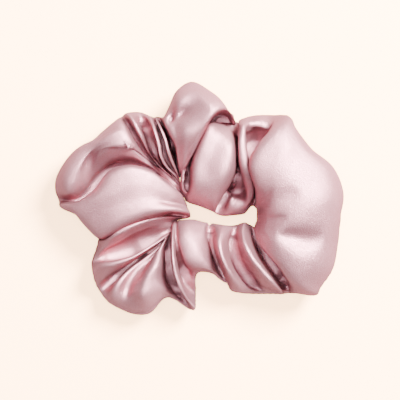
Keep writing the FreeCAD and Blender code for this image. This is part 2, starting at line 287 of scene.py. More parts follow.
     (-5.5,-40.5,8), (-4,-43.6,6), (-4,-43.8,4)],
    # The lower left panel, with the curled end that dips below the rest.
    [(-11,-10.5,8), (-12.4,-14,12), (-15,-20,15.5), (-16,-25.5,19), (-16.8,-31,18), (-15.3,-35.5,15.5),
     (-13,-38.6,9), (-12.7,-39,5)],
    [(-11.4,-12.2,8), (-13.6,-16,11.5), (-17.4,-21.8,15.5), (-20,-28,19.5), (-21.8,-33.5,20),
     (-22.3,-37.5,19.5), (-20.5,-42,13), (-20,-45,7), (-19.8,-45.3,5)],
    [(-11.6,-13,8), (-14,-16.8,11), (-18.8,-22.4,12.5), (-23,-28.5,16), (-25.5,-35,17.5), (-26.5,-40.5,14),
     (-26,-44.8,9), (-26,-45.5,5)],
    [(-11.7,-13.5,8), (-14.3,-17.1,11), (-20,-22.9,12.5), (-25,-27.8,14.2), (-28.3,-33.5,15),
     (-30,-39.5,13.5), (-31,-43.4,8), (-31,-43.6,5)],
    [(-11.8,-13.9,8), (-14.8,-17.3,10.8), (-21,-22.6,12.2), (-27.4,-27.7,14.5), (-32,-33,16.5),
     (-34.5,-37.8,14), (-35.8,-40.6,8.5), (-36,-40.8,5)],
    [(-11.5,-14.3,7.5), (-15,-17,9.5), (-21.3,-21.9,8), (-28,-26.8,8), (-33.5,-31.3,8), (-37.8,-34.8,8),
     (-39.6,-36.3,7), (-39.8,-36.5,4)],
    # The cup on the left: its outer slope, lower lip, hollow and thin upper lip.
    [(-11.4,-14,8), (-14.6,-16.2,12.5), (-20.8,-20.4,15.5), (-27.8,-24.9,17), (-34.3,-28.6,16.5),
     (-38.7,-31.4,13), (-41.3,-33,8), (-41.6,-33,5)],
    [(-11.2,-13,8.5), (-14,-14.9,15.5), (-20,-18.7,20), (-26.5,-22.6,21.5), (-33,-24.8,21), (-38,-25.8,18),
     (-42,-28,10), (-42.7,-28,5)],
    [(-11,-12,8), (-14,-13.3,11.5), (-20,-17,12), (-27,-20.4,11), (-33.5,-22,12), (-38,-22.8,13),
     (-42.3,-24.5,10), (-42.9,-24.5,5)],
    [(-10.7,-10.8,8), (-13.8,-11.3,12.5), (-19.5,-13.4,13.5), (-26.3,-16.4,13.5), (-33,-18.8,14.5),
     (-37.6,-20,15), (-41,-21,9.5), (-41.8,-21,5)],
    [(-10,-9.3,8), (-13.4,-8.9,13.5), (-19.2,-10.2,16.5), (-26,-12.8,17.5), (-32.4,-15.7,18),
     (-36.8,-17.7,16), (-40,-18,9), (-40.8,-18,5)],
    [(-8.5,-8,8.5), (-12.5,-6.9,14.5), (-18.7,-7.6,19), (-25.6,-9.8,21), (-32,-12.9,20.5), (-36.6,-15.6,15.5),
     (-39.5,-16.3,9), (-40.3,-16,5)],
]
print(len(FOLDS), "fold lines")

# %% [markdown]
# ## From fold lines to cloth
#
# Each fold line goes on round the tube: under the rim, along the table and up the wall of the opening. A
# ridge rests on the table and a valley is lifted off it, so the underside is gathered too. A smooth curve
# through every line, and then through the lines in turn, gives an even grid of points all over the tube.

# %% Grid of the tube
AROUND = 480          # grid lines round the ring
OVER_TOP = 62         # points of each line over the top
UNDERNEATH = 34       # and underneath
RIM_HEIGHT = 0.44     # height of the rim as a share of its fold's crest
SPAN_STEPS = 24       # curve points between two points of a fold line
LINE_STEPS = 16       # curve points between two fold lines
EXTRA_SPACING = 2.0   # mm added to every gap between folds
MOST_LIFT = 5         # mm that a valley's underside stands off the table
TUCKED = set(range(25, 40)) | {63, 65}      # folds whose outer end is tucked under a neighbour


def smooth_curve(points, closed, count_per_span):
    """Points along a centripetal curve through all the given points, the same number for each span."""
    p = np.asarray(points, float)
    n = len(p)
    if closed:
        p = np.concatenate([p[-1:], p, p[:2]])
        spans = n
    else:
        p = np.concatenate([2 * p[:1] - p[1:2], p, 2 * p[-1:] - p[-2:-1]])
        spans = n - 1
    out = []
    steps = np.linspace(0, 1, count_per_span, endpoint=False)[:, None]
    for i in range(spans):
        a, b, c, d = p[i:i + 4]
        t1 = max(np.linalg.norm(b - a), 1e-6) ** 0.5
        t2 = t1 + max(np.linalg.norm(c - b), 1e-6) ** 0.5
        t3 = t2 + max(np.linalg.norm(d - c), 1e-6) ** 0.5
        t = t1 + (t2 - t1) * steps
        ab = (t1 - t) / t1 * a + t / t1 * b
        bc = (t2 - t) / (t2 - t1) * b + (t - t1) / (t2 - t1) * c
        cd = (t3 - t) / (t3 - t2) * c + (t - t2) / (t3 - t2) * d
        abc = (t2 - t) / t2 * ab + t / t2 * bc
        bcd = (t3 - t) / (t3 - t1) * bc + (t - t1) / (t3 - t1) * cd
        out.append((t2 - t) / (t2 - t1) * abc + (t - t1) / (t2 - t1) * bcd)
    out = np.concatenate(out)
    return out if closed else np.concatenate([out, p[-2:-1]])


def even_points(curve, count):
    """That many points at even distances along a curve, from its first point and short of its last."""
    lengths = np.concatenate([[0], np.cumsum(np.linalg.norm(np.diff(curve, axis=0), axis=1))])
    at = np.linspace(0, lengths[-1], count, endpoint=False)
    return np.stack([np.interp(at, lengths, curve[:, k]) for k in range(3)], axis=1)


def with_high_rim(top):
    """A fold line whose outer slope ends at a rim part of the way up, as folded cloth stands."""
    line = np.array(top, float)
    crest = line[:, 2].argmax()
    high = line[crest, 2]
    low = line[-1, 2]
    share = (line[crest:, 2] - low) / (high - low)
    line[crest:, 2] = high * (RIM_HEIGHT + (1 - RIM_HEIGHT) * share)
    return line


def whole_line(top, lift):
    """A fold line all the way round the tube, evenly spaced over the top and underneath."""
    inner = np.array(top[0], float)
    rim = np.array(top[-1], float)

    def under(share, z):
        point = rim + (inner - rim) * share
        return (point[0], point[1], z)

    below = [under(0.05, 0.45 * rim[2]), under(0.13, 1.4), under(0.27, 0.6 + 0.6 * lift),
             under(0.48, 0.6 + lift), under(0.72, 0.8 + 0.4 * lift), under(0.93, 1.6)]
    curve = smooth_curve(list(top) + below, True, SPAN_STEPS)
    split = SPAN_STEPS * (len(top) - 1)
    over = even_points(curve[:split + 1], OVER_TOP)
    underneath = even_points(np.concatenate([curve[split:], curve[:1]]), UNDERNEATH)
    return np.concatenate([over, underneath])


def tube_grid():
    """The tube in millimetres, as lines round the ring by points round the tube, and each fold's place."""
    crests = np.array([max(p[2] for p in line) for line in FOLDS])
    neighbours = (np.roll(crests, 1) + np.roll(crests, -1)) / 2
    lifts = np.clip((neighbours - crests) * 0.5, 0, MOST_LIFT)
    shaped = [line if i in TUCKED else with_high_rim(line) for i, line in enumerate(FOLDS)]
    lines = np.array([whole_line(line, lift) for line, lift in zip(shaped, lifts)])
    gaps = np.linalg.norm(np.roll(lines, -1, axis=0) - lines, axis=2)
    spacing = gaps[:, OVER_TOP // 3:OVER_TOP].mean(axis=1) + EXTRA_SPACING
    starts = np.concatenate([[0], np.cumsum(spacing)])
    dense = np.array([smooth_curve(lines[:, j], True, LINE_STEPS) for j in range(lines.shape[1])])
    at = np.interp(np.arange(len(FOLDS) * LINE_STEPS + 1) / LINE_STEPS, np.arange(len(starts)), starts)
    wanted = np.linspace(0, starts[-1], AROUND, endpoint=False)
    place = np.interp(wanted, at, np.arange(len(at)))
    low = np.floor(place).astype(int)
    share = (place - low)[None, :, None]
    dense = np.concatenate([dense, dense[:, :1]], axis=1)
    points = ((1 - share) * dense[:, low] + share * dense[:, low + 1]).transpose(1, 0, 2)
    return points, starts[:-1] / starts[-1] * AROUND


grid, fold_places = tube_grid()
print("grid", grid.shape, "lowest", grid[..., 2].min(), "highest", grid[..., 2].max())

# %% [markdown]
# ## Tools for the grid
#
# A closed grid becomes a mesh with one face between every four points. It also gives its own normals and its
# distance from the middle line of the opening.

# %% Grid tools
def quads_of(across, round_tube):
    """The four corners of every face of a closed grid, as vertex numbers."""
    index = np.arange(across * round_tube).reshape(across, round_tube)
    beside = np.roll(index, -1, axis=0)
    corners = [index, beside, np.roll(beside, -1, axis=1), np.roll(index, -1, axis=1)]
    return np.stack(corners, axis=-1).reshape(-1, 4)


def smooth_mesh(name, points, faces):
    """A smooth-shaded mesh of points in metres."""
    mesh = bpy.data.meshes.new(name)
    mesh.from_pydata(points.reshape(-1, 3).tolist(), [], faces)
    mesh.polygons.foreach_set("use_smooth", [True] * len(mesh.polygons))
    mesh.update()
    return mesh


def mesh_of(name, points):
    """A smooth closed mesh of a grid of points."""
    return smooth_mesh(name, points, quads_of(*points.shape[:2]).tolist())


def band_box():
    """The lowest and highest corner of the elastic's upper half, in millimetres."""
    return [np.array(corner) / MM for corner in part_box("elastic_band_upper")]


def from_slot(points):
    """How far points lie from the middle line of the opening, in plan."""
    low, high = band_box()
    radius = high[1] - low[1]
    x, y = points[..., 0], points[..., 1]
    return np.hypot(x - np.clip(x, low[0] + radius, high[0] - radius), y - low[1])


def unit(vectors):
    """The same vectors at length one."""
    return vectors / np.maximum(np.linalg.norm(vectors, axis=-1, keepdims=True), 1e-9)


def normals_of(points):
    """Outward unit normals of the grid."""
    along = np.roll(points, -1, axis=0) - np.roll(points, 1, axis=0)
    round_tube = np.roll(points, -1, axis=1) - np.roll(points, 1, axis=1)
    return unit(np.cross(along, round_tube))


def by_fold(weights, lines):
    """A weight for each grid line, from weights given at some of the folds."""
    return np.interp(lines, fold_places[list(weights)], list(weights.values()))


print("grid tools ready")

# %% [markdown]
# ## A short run of the cloth solver
#
# The grid is smooth like rubber until the cloth solver has worked on it. A coarser copy, ten times life size
# and with three percent of spare fabric, buckles between the ridges, and the finer grid takes over its
# movement. The elastic and the table hold the cloth. A weight for each fold says how much of the movement it
# keeps.

# %% Cloth
SOLVER_SCALE = 10.0
SOLVER_FRAMES = 14
SPARE_FABRIC = 0.03
GATHERED_WITHIN = 10  # mm from the middle line of the opening, where the elastic holds the cloth
LIGHT_HOLD = 0.1      # and how lightly the rest of it is held
FULL_HOLD = 1.0
SATIN_BEHAVIOUR = {   # light, supple and well damped
    "quality": 6, "mass": 0.1,
    "tension_stiffness": 40, "compression_stiffness": 40, "shear_stiffness": 20, "bending_stiffness": 20,
    "tension_damping": 10, "compression_damping": 10, "shear_damping": 10, "air_damping": 5,
}
LOOSE = {0: 0.2, 1: 0.9, 3: 1.0, 4: 0.5, 6: 0.5, 8: 0.8, 10: 0.2, 11: 0.0, 19: 0.0, 20: 0.6, 23: 0.6, 24: 0.0,
         28: 0.0, 30: 0.5, 32: 0.0, 40: 0.0, 41: 0.3, 49: 0.3, 50: 0.2, 52: 0.0, 60: 0.0, 61: 0.6, 63: 0.0,
         67: 0.3, 69: 0.3, 72: 0.0, 76: 0.0}


def twice_as_fine(values, axis):
    """A closed grid with a smooth value put between every two along one axis."""
    before, after, beyond = (np.roll(values, shift, axis=axis) for shift in (1, -1, -2))
    between = (9 * (values + after) - before - beyond) / 16
    shape = list(values.shape)
    shape[axis] *= 2
    return np.stack([values, between], axis=axis + 1).reshape(shape)


def buckled(points):
    """The same grid after the solver has run on every second line and point of it."""
    coarse = points[::2, ::2]
    cloth = placed("cloth", mesh_of("cloth", coarse * MM * SOLVER_SCALE))
    hold = np.full(coarse.shape[:2], LIGHT_HOLD)
    hold[from_slot(coarse) < GATHERED_WITHIN] = FULL_HOLD
    hold[:, OVER_TOP // 2 + 1:-1] = FULL_HOLD
    group = cloth.vertex_groups.new(name="held")
    for weight in (LIGHT_HOLD, FULL_HOLD):
        group.add(np.nonzero((hold == weight).ravel())[0].tolist(), weight, "REPLACE")
    settings = cloth.modifiers.new("cloth", "CLOTH").settings
    for name, value in SATIN_BEHAVIOUR.items():
        setattr(settings, name, value)
    settings.vertex_group_mass = "held"
    settings.pin_stiffness = 2
    settings.shrink_min = -SPARE_FABRIC
    settings.effector_weights.gravity = 0
    for frame_number in range(1, SOLVER_FRAMES + 1):
        bpy.context.scene.frame_set(frame_number)
    solved = cloth.evaluated_get(bpy.context.evaluated_depsgraph_get()).data
    moved = np.empty(coarse.size)
    solved.vertices.foreach_get("co", moved)
    moved = moved.reshape(coarse.shape) / MM / SOLVER_SCALE - coarse
    bpy.data.objects.remove(cloth)
    bpy.context.scene.frame_set(1)
    moved *= by_fold(LOOSE, np.arange(AROUND)[::2])[:, None, None]
    return points + twice_as_fine(twice_as_fine(moved, 0), 1)


grid = buckled(grid)
print("cloth solved, highest point", round(float(grid[..., 2].max()), 1), "mm")

# %% [markdown]
# ## Sharper folds and fine creases
#
# Each valley is deepened in proportion to how far it lies under its smoothed surroundings. Fine creases in
# four sizes then start at the opening and die out on the lobes, more of them on some folds than on others.

# %% Valleys and creases
FOLD_REACH = 60       # passes of smoothing that tell a fold from the broad shape
VALLEY_GAIN = 1.8
CREST_GAIN = 0.2
DEEPEST = 3.0         # mm that a valley may sink
PROUDEST = 0.8        # mm that a crest may rise
FADE_AT, FADE_OVER = 7, 12      # rows before the rim where this ends, and over which it fades
CREASE_DEPTH = 0.55   # the fine creases, at their deepest near the opening
CREASE_WAVES = (23, 37, 52, 71)     # creases round the ring
FULL_TURN = 6.28      # radians, near enough
CREASING = {0: 0.4, 3: 0.3, 5: 0.6, 9: 0.8, 18: 0.8, 22: 0.4, 26: 0.3, 31: 0.3, 36: 0.5, 41: 0.12, 49: 0.15,
            52: 0.5, 60: 0.5, 66: 1.0, 72: 1.0, 76: 0.5}


def deepened(points):
    """The grid with its folds sharper: narrow valleys go deeper and crests stand a little prouder."""
    normal = normals_of(points)
    hollow = ((evened(points, FOLD_REACH) - points) * normal).sum(axis=-1)
    on_top = np.clip((OVER_TOP - FADE_AT - np.arange(points.shape[1])) / FADE_OVER, 0, 1)
    move = CREST_GAIN * np.maximum(-hollow, 0) - VALLEY_GAIN * np.maximum(hollow, 0)
    return points + normal * (np.clip(move, -DEEPEST, PROUDEST) * on_top)[..., None]


def creased(points):
    """The grid with fine creases that start in the gathers at the opening and die out on the lobes."""
    dice = np.random.default_rng(11)
    lines = np.arange(AROUND)[:, None] * 2 * np.pi / AROUND
    rows = np.arange(points.shape[1])[None, :] / OVER_TOP
    coarsest = CREASE_WAVES[0]
    height = np.zeros(points.shape[:2])
    for waves in CREASE_WAVES:
        phase, sway, tilt = dice.uniform(0, FULL_TURN, 3)
        bend = 1.1 * np.sin(2.4 * rows + sway) + 0.8 * rows * np.sin(3 * lines + tilt)
        strength = 0.5 + 0.5 * np.sin(dice.integers(3, 8) * lines + dice.uniform(0, FULL_TURN) + 2.0 * rows)
        height += np.sin(waves * lines + phase + bend * waves / 24) * strength * (coarsest / waves) ** 0.7
    # Strongest near the opening, weaker again halfway out, and gone before the rim.
    fade = np.exp(-((rows - 0.10) / 0.24) ** 2) + 0.30 * np.exp(-((rows - 0.62) / 0.30) ** 2)
    fade = fade * np.clip((0.9 - rows) / 0.2, 0, 1)
    gathered = by_fold(CREASING, lines[:, 0] * AROUND / (2 * np.pi))[:, None]
    return points + normals_of(points) * (CREASE_DEPTH * 0.5 * height * fade * gathered)[..., None]


grid = creased(deepened(grid))
print("folds sharpened, highest point", round(float(grid[..., 2].max()), 1), "mm")

# %% [markdown]
# ## Seams, and room for the elastic
#
# The closing seam crosses the tube as a narrow puckered groove. The long seam runs near the outer rim and
# comes up onto two of the lobes, where the tube has twisted. The satin keeps off the elastic inside it and
# off the table.

# %% Seams and clearances
GROOVE_DEPTH = 0.9    # of a seam, mm
GROOVE_WIDTH = 0.55
PUCKER_HEIGHT = 0.22  # of the puckers beside it
PUCKER_LENGTH = 3.2
PUCKER_REACH = 1.8
LONG_SEAM_SHARE = 0.45      # the long seam is flatter than the closing seam
SEAM_CLIMBS = ((44, 26, 7.5), (68, 20, 6.0))    # fold, half its width in grid lines, rows climbed
BAND_DISTANCE = 18.4  # of the elastic from the middle line of the opening
ABOVE_FROM, ABOVE_TO, ABOVE_EASE = 9, 31, 5     # where the satin is lifted over the elastic
ABOVE_BAND = 0.7      # mm of room over the elastic
BELOW_BAND = 0.9      # and under it
SOFTNESS = 2.0        # how gently the lift starts
ABOVE_TABLE = 0.2


def groove(distance, run):
    """How far a seam moves the cloth outwards, for a distance across the seam and a run along it."""
    puckers = PUCKER_HEIGHT * np.sin(2 * np.pi * run / PUCKER_LENGTH + 2.6 * np.sin(run / 7))
    beside = puckers * np.sign(distance) * np.exp(-(distance / PUCKER_REACH) ** 2)
    return beside - GROOVE_DEPTH * np.exp(-(distance / GROOVE_WIDTH) ** 2)


def long_seam_row():
    """Where the long seam lies on each grid line: at the rim, but up on two of the lobes."""
    lines = np.arange(AROUND)
    row = np.full(AROUND, OVER_TOP + 1.0)
    for fold, width, climb in SEAM_CLIMBS:
        row -= climb * np.exp(-((lines - fold_places[fold]) / width) ** 2)
    return row


def closing_line():
    """The grid line that the closing seam follows."""
    return round(fold_places[FOLDS.index(CLOSING_SEAM)])


def with_seams(points):
    """The grid with both seams drawn into it."""
    normal = normals_of(points)
    step_along = np.linalg.norm(np.roll(points, -1, axis=0) - points, axis=2)
    step_round = np.linalg.norm(np.roll(points, -1, axis=1) - points, axis=2)
    lines = np.arange(AROUND)[:, None]
    rows = np.arange(points.shape[1])[None, :]
    across = (lines - closing_line()) * step_along
    move = groove(across, np.cumsum(step_round, axis=1))
    from_rim = (rows - long_seam_row()[:, None]) * step_round
    move += LONG_SEAM_SHARE * groove(from_rim, np.cumsum(step_along, axis=0))
    return points + normal * move[..., None]


def clear_of_elastic(points):
    """The grid kept above and below the elastic, and off the table."""
    low, high = (corner[2] for corner in band_box())
    away = from_slot(points)
    near = eased(np.clip(1.6 - np.abs(away - BAND_DISTANCE) / 2.4, 0, 1))
    over = eased(np.clip(np.minimum(away - ABOVE_FROM, ABOVE_TO - away) / ABOVE_EASE, 0, 1))
    z = points[..., 2]
    top = np.arange(points.shape[1]) <= OVER_TOP
    spare = z - high - ABOVE_BAND
    lifted = z + over * (np.sqrt(spare * spare + SOFTNESS) - spare) / 2
    pressed = z - near * np.maximum(z - low + BELOW_BAND, 0)
    out = points.copy()
    out[..., 2] = np.maximum(np.where(top[None, :], lifted, pressed), ABOVE_TABLE)
    return out


grid = clear_of_elastic(with_seams(grid))
print("seams drawn, lowest point", round(float(grid[..., 2].min()), 2), "mm")

# %% [markdown]
# ## The satin as one piece
#
# The grid becomes a mesh with UVs in metres of fabric, u along the strip and v round the tube, so that the
# weave and the sheen can follow the threads. Solidify gives the satin its 0.3 mm.

# %% Satin cover
SATIN_THICKNESS = 0.3       # mm
STRIP_LENGTH = 0.36         # the flat strip, in metres
STRIP_WIDTH = 0.10


def finished(obj):
    """The object's mesh with its modifiers applied and none left on it."""
    solved = obj.evaluated_get(bpy.context.evaluated_depsgraph_get())
    mesh = bpy.data.meshes.new_from_object(solved)
    obj.modifiers.clear()
    obj.data = mesh
    return obj


def satin_cover():
    """The whole satin ring."""
    mesh = mesh_of("satin_cover", grid * MM)
    across, round_tube = grid.shape[:2]
    i, j = np.divmod(np.arange(across * round_tube), round_tube)
    corners = np.stack([(i, j), (i + 1, j), (i + 1, j + 1), (i, j + 1)], axis=0)
    u = corners[:, 0].T / across * STRIP_LENGTH
    v = corners[:, 1].T / round_tube * STRIP_WIDTH
    layer = mesh.uv_layers.new(name="fabric")
    layer.data.foreach_set("uv", np.stack([u, v], axis=-1).ravel())
    cover = placed("satin_cover", mesh)
    thick = cover.modifiers.new("thickness", "SOLIDIFY")
    thick.thickness = SATIN_THICKNESS * MM
    thick.offset = -1
    return finished(cover)


cover = satin_cover()
print("satin cover:", len(cover.data.polygons), "faces")

# %% [markdown]
# ## The elastic
#
# Braided elastic is a flat band with fine ribs along it. It stands on edge round the opening, and its outer
# end steps out to lap over the inner end, where a zigzag holds the two.

# %% Elastic band
BAND_THICKNESS = 1.2
RIBS = 8
RIB_STEPS = 6         # points across one rib
RIB_DEPTH = 0.14      # as a share of half the thickness
HALF_GAP = 0.25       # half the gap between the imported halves
LAP_START = 5.0       # x of the lap's two ends
LAP_END = 15.0
LAP_STEP_RUN = 3.0    # length over which the outer end steps out
LAP_CLEARANCE = 0.02


def elastic_sizes():
    """The band's measures from the frame, in millimetres."""
    low, high = band_box()
    outer = high[1] - low[1]
    return {"radius": outer - BAND_THICKNESS / 2, "left": low[0] + outer, "right": high[0] - outer,
            "y": low[1] - HALF_GAP, "low": low[2], "high": high[2]}


def elastic_path(e):
    """The middle line of the band in plan, from the inner end of the lap round to the outer one."""
    r = e["radius"]
    tall = r + HALF_GAP
    step = BAND_THICKNESS + LAP_CLEARANCE
    bottom = e["y"] - tall
    top = e["y"] + tall
    turns = np.linspace(0, math.pi, 72)
    left = np.stack([e["left"] - r * np.sin(turns), e["y"] - tall * np.cos(turns)], axis=1)
    right = np.stack([e["right"] + r * np.sin(turns), e["y"] + tall * np.cos(turns)], axis=1)
    first = [(x, bottom) for x in np.linspace(LAP_END, e["left"], 24)[:-1]]
    over = [(x, top) for x in np.linspace(e["left"], e["right"], 28)[1:-1]]
    ease = np.linspace(0, 1, 8)
    ends_x = LAP_END + LAP_STEP_RUN * (1 - ease)
    stepping = np.stack([ends_x, bottom - step * eased(ease)], axis=1)
    last = [(x, bottom - step) for x in np.linspace(LAP_END, LAP_START, 18)[1:]]
    return np.concatenate([first, left, over, right, stepping[1:], last])


def elastic_band():
    """The whole band, ribbed, with its two cut ends closed."""
    e = elastic_sizes()
    path = elastic_path(e)
    out = np.gradient(path, axis=0)
    out = unit(np.stack([out[:, 1], -out[:, 0]], axis=1))
    height = e["high"] - e["low"]
    rise = np.linspace(0.02, 0.98, RIBS * RIB_STEPS)
    ribbing = np.abs(np.sin(math.pi * RIBS * rise)) ** 0.6
    rib = BAND_THICKNESS / 2 * (1 - RIB_DEPTH + RIB_DEPTH * ribbing)
    section = [(r, z) for r, z in zip(rib, rise)] + [(-r, z) for r, z in zip(rib[::-1], rise[::-1])]
    rings = np.array([
        [(*(p + n * r), e["low"] + height * z) for r, z in section] for p, n in zip(path, out)
    ])
    count = len(section)
    faces = quads_of(*rings.shape[:2])[:-count].tolist()
    ends = [list(range(count)), list(range(count * (len(path) - 1), count * len(path)))]
    return placed("elastic", smooth_mesh("elastic", rings * MM, faces + ends))


elastic = elastic_band()
print("elastic:", len(elastic.data.polygons), "faces")

# %% [markdown]
# ## Stitches
#
# A node group lays one stitch after another along a path. The long seam and the closing seam
# are lockstitched, so each is a needle thread on one face of the seam's two plies and a bobbin thread on the
# other. The lap of the elastic is held by a zigzag of the same two threads.

# %% Stitched threads
THREAD_DIAMETER = 0.3       # mm
STITCH_LENGTH = 2.4
STITCH_INSET = 1.9          # depth of a seam's plies under the satin's face
PLY = 0.45                  # distance of each thread from the middle of the plies
RIM_INSET = 3.5             # where the long seam runs inside the rim, and how high
RIM_SEAM_HEIGHT = 4.2
SEAM_EASING = 10            # passes of smoothing where the long seam leaves the rim
ZIGZAG_POINTS = 15
ZIGZAG_MARGIN = 0.8         # from the edges of the lap
THREAD_PROUD = 0.05         # of the elastic's face


def stitch_nodes(material):
    """A node group that turns a path of edges into a row of stitches."""
    tree = bpy.data.node_groups.new("stitches", "GeometryNodeTree")
    tree.interface.new_socket("Path", in_out="INPUT", socket_type="NodeSocketGeometry")
    tree.interface.new_socket("Stitches", in_out="OUTPUT", socket_type="NodeSocketGeometry")
    path = add(tree, "NodeGroupInput").outputs["Path"]
    curve = add(tree, "GeometryNodeMeshToCurve", Mesh=path).outputs["Curve"]
    spaced = add(tree, "GeometryNodeResampleCurve", {"mode": "LENGTH"}, Curve=curve,
                 Length=STITCH_LENGTH * MM)
    tangent = add(tree, "GeometryNodeInputTangent").outputs["Tangent"]
    turn = add(tree, "FunctionNodeAlignRotationToVector", {"axis": "Z"}, Vector=tangent).outputs["Rotation"]
    bead = add(tree, "GeometryNodeMeshUVSphere", Segments=8, Rings=6, Radius=THREAD_DIAMETER / 2 * MM)
    stretch = (1, 1, STITCH_LENGTH / THREAD_DIAMETER)
    row = add(tree, "GeometryNodeInstanceOnPoints", Points=spaced.outputs["Curve"],
              Instance=bead.outputs["Mesh"], Rotation=turn, Scale=stretch)
    real = add(tree, "GeometryNodeRealizeInstances", Geometry=row.outputs["Instances"])
    smooth = add(tree, "GeometryNodeSetShadeSmooth", Geometry=real.outputs["Geometry"])
    coated = add(tree, "GeometryNodeSetMaterial", Geometry=smooth.outputs["Geometry"], Material=material)
    add(tree, "NodeGroupOutput", Stitches=coated.outputs["Geometry"])
    return tree


def stitched(name, points, closed, nodes):
    """A row of stitches along points given in millimetres."""
    count = len(points)
    edges = [(i, i + 1) for i in range(count - 1)] + ([(count - 1, 0)] if closed else [])
    mesh = bpy.data.meshes.new(name)
    mesh.from_pydata((np.asarray(points) * MM).tolist(), edges, [])
    row = placed(name, mesh)
    row.modifiers.new("stitches", "NODES").node_group = nodes
    return finished(row)


def seam_paths():
    """The needle and bobbin paths of both satin seams, inside the tube."""
    normal = normals_of(grid)
    lines = np.arange(AROUND)
    seam_row = long_seam_row()
    rows = np.round(seam_row).astype(int)
    climbing = np.clip((OVER_TOP + 1 - seam_row) / 3, 0, 1)[:, None]
    on_lobe = grid[lines, rows] - normal[lines, rows] * STITCH_INSET
    rim = grid[:, OVER_TOP + 1]
    inward = (grid.mean(axis=1) - rim) * (1, 1, 0)
    at_rim = rim + unit(inward) * RIM_INSET
    at_rim[:, 2] = RIM_SEAM_HEIGHT
    middle = evened(climbing * on_lobe + (1 - climbing) * at_rim, SEAM_EASING)
    round_tube = unit(np.roll(grid, -1, axis=1) - grid)[lines, rows]
    apart = unit(evened(climbing * round_tube + (1 - climbing) * (0, 0, -1), SEAM_EASING))
    closing = closing_line()
    ring = grid[closing] - normal[closing] * STITCH_INSET
    sideways = unit(np.roll(grid, -1, axis=0) - grid)[closing]
    return {
        "long_seam_needle_thread": middle + apart * PLY,
        "long_seam_bobbin_thread": middle - apart * PLY,
        "closing_seam_needle_thread": ring + sideways * PLY,
        "closing_seam_bobbin_thread": ring - sideways * PLY,
    }


def zigzag_path(face):
    """The zigzag on one face of the lap, -1 for the inner face and 1 for the outer one."""
    e = elastic_sizes()
    inner_face = e["y"] - e["radius"] - HALF_GAP + BAND_THICKNESS / 2
    outer_face = inner_face - 2 * BAND_THICKNESS - LAP_CLEARANCE
    y = outer_face - THREAD_PROUD if face > 0 else inner_face + THREAD_PROUD
    x = np.linspace(LAP_START + ZIGZAG_MARGIN, LAP_END - ZIGZAG_MARGIN, ZIGZAG_POINTS)
    z = np.where(np.arange(ZIGZAG_POINTS) % 2, e["high"] - ZIGZAG_MARGIN, e["low"] + ZIGZAG_MARGIN)
    return np.stack([x, np.full(ZIGZAG_POINTS, y), z], axis=1)


print("stitch tools ready")

# %% [markdown]
# ## The satin's material
#
# Satin is woven so that long floats of bright polyester lie side by side on its face. They give a broad soft
# shine across the threads, and a slightly uneven one where a float is missing.

# %% Satin
SATIN_DARK = "#8A4F59"      # the dye where it takes deepest, and palest
SATIN_LIGHT = "#B58A93"
SATIN_METALLIC = 0.8        # most of the light is mirrored by the floats
SATIN_ROUGH = 0.36


def satin_material():
    """Dusty pink polyester satin."""
    material, tree = new_material("dusty_pink_satin")
    uv = add(tree, "ShaderNodeUVMap", {"uv_map": "fabric"}).outputs["UV"]
    place = add(tree, "ShaderNodeTexCoord").outputs["Object"]
    # Floats 0.25 mm wide, drawn out along the strip.
    stretched = add(tree, "ShaderNodeMapping", Vector=uv, Scale=(900, 4000, 1))
    floats = noise(tree, stretched.outputs["Vector"], 1.0, roughness=0.6)
    # Slubs, a third of a millimetre long.
    slubs = noise(tree, place, 2600.0, roughness=0.7)
    broad = noise(tree, place, 70.0)
    # The dye takes a little unevenly.
    tone = mixed(tree, slubs, SATIN_DARK, SATIN_LIGHT)
    shine = add(tree, "ShaderNodeMapRange", Value=broad, To_Min=SATIN_ROUGH, To_Max=SATIN_ROUGH + 0.08)
    relief = bump(tree, slubs, 1.0, 0.0002, Normal=bump(tree, floats, 0.25, 0.00008))
    along = add(tree, "ShaderNodeTangent", {"direction_type": "UV_MAP", "uv_map": "fabric"})
    surfaced(tree, Base_Color=tone, Roughness=shine.outputs["Result"], Normal=relief,
             Tangent=along.outputs["Tangent"], Metallic=SATIN_METALLIC, Anisotropic=0.5,
             Anisotropic_Rotation=0.25, Specular_IOR_Level=0.4, Specular_Tint=linear("#C9949C"))
    return material


satin = satin_material()
print("material:", satin.name)

# %% [markdown]
# ## Thread and elastic
#
# The seam thread is spun polyester dyed to match the satin, and the zigzag's is white. Both are matt, with
# the fine slanting lines of their twist. The elastic is dull white braid.

# %% Thread and elastic materials
def thread_material(name, hex_colour):
    """Spun polyester thread: matt, with the slant of its twist."""
    material, tree = new_material(name)
    place = add(tree, "ShaderNodeTexCoord").outputs["Object"]
    slanted = add(tree, "ShaderNodeMapping", Vector=place, Rotation=(0.6, 0.5, 0.7))
    twist = add(tree, "ShaderNodeTexWave", Vector=slanted.outputs["Vector"], Scale=1600.0, Distortion=1.5)
    fuzz = noise(tree, place, 4000.0)
    level = add(tree, "ShaderNodeMapRange", Value=fuzz, To_Min=0.8, To_Max=1.15)
    shade = add(tree, "ShaderNodeHueSaturation", Color=linear(hex_colour), Value=level.outputs["Result"])
    surfaced(tree, Base_Color=shade.outputs["Color"], Roughness=0.7, Sheen_Weight=0.2,
             Normal=bump(tree, twist.outputs["Fac"], 0.6, 0.00005))
    return material


def elastic_material():
    """White braided elastic: matt polyester yarn over rubber, in small slanting picks."""
    material, tree = new_material("white_braided_elastic")
    place = add(tree, "ShaderNodeTexCoord").outputs["Object"]
    picks = add(tree, "ShaderNodeTexVoronoi", Vector=place, Scale=2200.0, Randomness=0.35)
    tone = mixed(tree, noise(tree, place, 300.0, 3.0), "#D8D4CB", "#F1EEE7")
    surfaced(tree, Base_Color=tone, Roughness=0.62, Sheen_Weight=0.15,
             Normal=bump(tree, picks.outputs["Distance"], 0.7, 0.00012))
    return material


